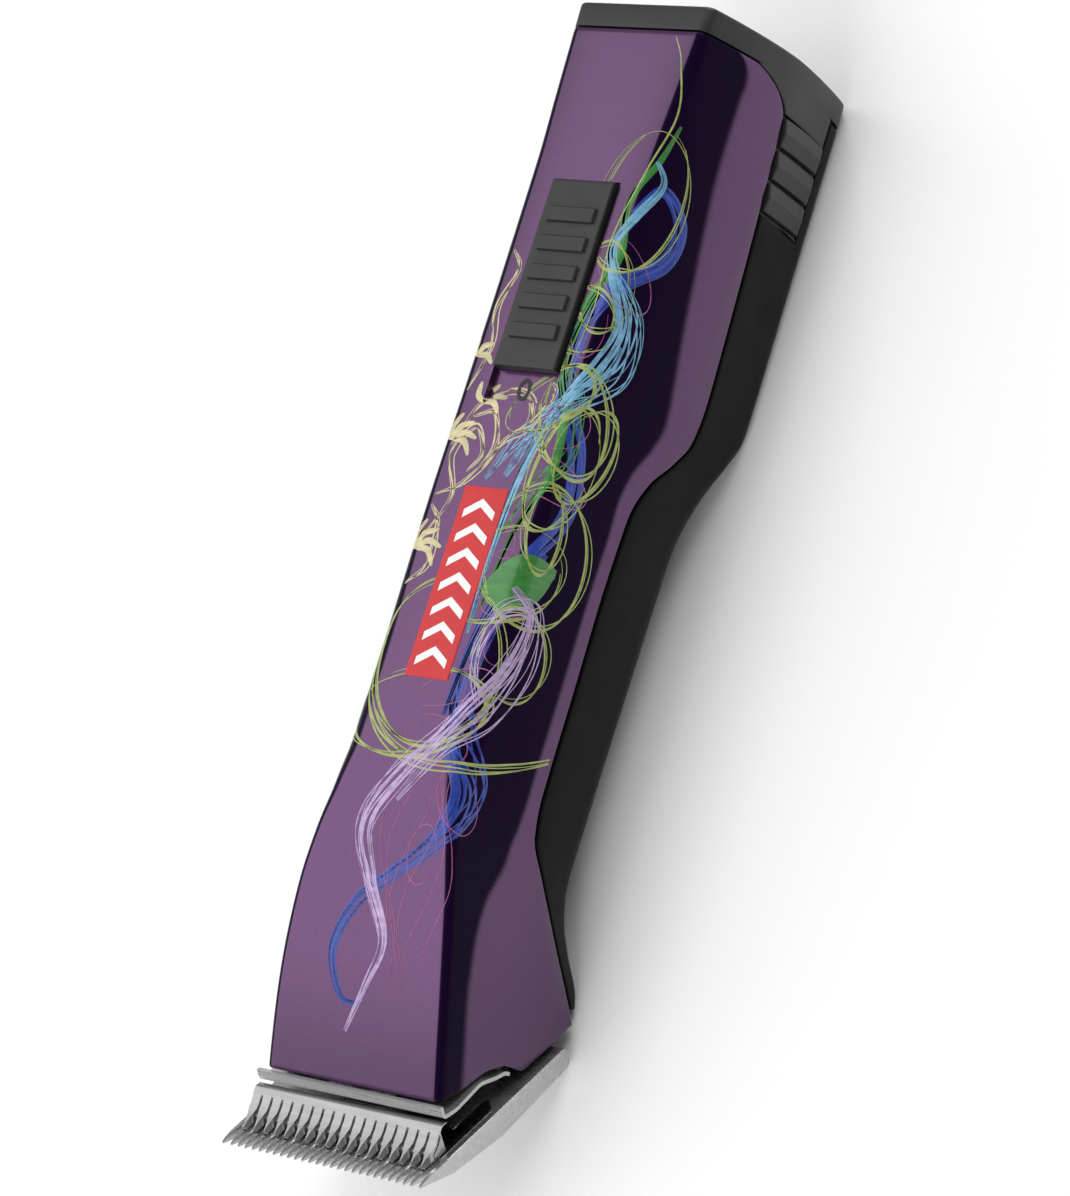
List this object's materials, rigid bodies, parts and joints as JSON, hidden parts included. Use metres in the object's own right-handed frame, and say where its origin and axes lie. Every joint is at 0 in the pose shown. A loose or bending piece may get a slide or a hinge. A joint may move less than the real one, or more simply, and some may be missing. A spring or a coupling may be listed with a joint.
{
  "type": "pet clipper",
  "caption": "Cordless pet grooming clipper with a detachable comb and cutter blade set, thumb slide switch and slide-out battery pack.",
  "frame": {"origin": "centre of the outline at the height the clipper lies on, on its back", "axes": "+Z out of the decorated face, +Y along the body to the battery end, -Y to the blade, +X across"},
  "size_m": [0.049, 0.2279, 0.0466],
  "materials": {
    "purple_lacquer": null,
    "black_plastic": "satin black, fine grain",
    "grey_plastic": "satin dark grey",
    "polished_steel": "ground and polished steel",
    "dark_steel": "dark zinc",
    "brass": "plain",
    "white_plastic": "natural nylon",
    "circuit_board": "solder mask",
    "cell_wrap": "shrink film"
  },
  "bodies": {
    "housing": {"front_shell": "purple_lacquer", "rear_shell": "black_plastic", "case_screw_head_left": "dark_steel", "case_screw_head_right": "dark_steel", "case_screw_tail_left": "dark_steel", "case_screw_tail_right": "dark_steel", "head_frame": "dark_steel", "frame_screw_left": "polished_steel", "frame_screw_right": "polished_steel", "hinge_pin": "polished_steel", "motor_can": "dark_steel", "motor_end_cap": "white_plastic", "lever_bracket": "dark_steel", "lever_pivot_pin": "polished_steel", "control_board": "circuit_board", "slide_switch": "grey_plastic", "terminal_block": "black_plastic", "contact_spring_left": "brass", "contact_spring_right": "brass"},
    "battery_pack": {"battery_cap": "black_plastic", "battery_tray": "grey_plastic", "battery_cell_left": "cell_wrap", "battery_cell_right": "cell_wrap", "battery_terminal_left": "brass", "battery_terminal_right": "brass", "latch_spring_left": "polished_steel", "latch_spring_right": "polished_steel"},
    "latch_left": {"latch_button_left": "grey_plastic"},
    "latch_right": {"latch_button_right": "grey_plastic"},
    "slider": {"power_slider": "grey_plastic"},
    "rotor": {"motor_rotor": "dark_steel", "crank_disc": "polished_steel"},
    "lever": {"drive_lever": "polished_steel"},
    "blade_hinge": {"hinge_tongue": "polished_steel"},
    "blade_set": {"blade_comb": "polished_steel", "blade_socket": "polished_steel", "tension_spring": "polished_steel", "blade_screw_left": "dark_steel", "blade_screw_right": "dark_steel"},
    "cutter": {"blade_cutter": "polished_steel", "drive_guide": "white_plastic"}
  },
  "joints": [
    {"name": "power_slide", "type": "slide", "parent": "housing", "child": "slider", "axis": [0, -1, 0], "range_m": [0, 0.0058]},
    {"name": "battery_slide", "type": "slide", "parent": "housing", "child": "battery_pack", "axis": [0, 1, 0], "range_m": [0, 0.07]},
    {"name": "latch_press_left", "type": "slide", "parent": "battery_pack", "child": "latch_left", "axis": [1, 0, 0], "range_m": [0, 0.0008], "stiffness_N_per_m": 600},
    {"name": "latch_press_right", "type": "slide", "parent": "battery_pack", "child": "latch_right", "axis": [-1, 0, 0], "range_m": [0, 0.0008], "stiffness_N_per_m": 600},
    {"name": "motor_spin", "type": "hinge", "parent": "housing", "child": "rotor", "pos_m": [0, -0.041, 0.0255], "axis": [0, 1, 0], "continuous": true},
    {"name": "lever_swing", "type": "hinge", "parent": "housing", "child": "lever", "pos_m": [0, -0.068, 0.0255], "axis": [0, 0, 1], "range_deg": [-2.6, 2.6]},
    {"name": "blade_fold", "type": "hinge", "parent": "housing", "child": "blade_hinge", "pos_m": [0, -0.07688, 0.00372], "axis": [1, 0, 0], "range_deg": [0, 45]},
    {"name": "blade_pull", "type": "slide", "parent": "blade_hinge", "child": "blade_set", "axis": [0, -0.7738, 0.6334], "range_m": [0, 0.012]},
    {"name": "cutter_stroke", "type": "slide", "parent": "blade_set", "child": "cutter", "axis": [1, 0, 0], "range_m": [-0.0013, 0.0013]}
  ],
  "couplings": [
    {"joint": "cutter_stroke", "follows": "lever_swing", "m_per_rad": 0.0272}
  ]
}
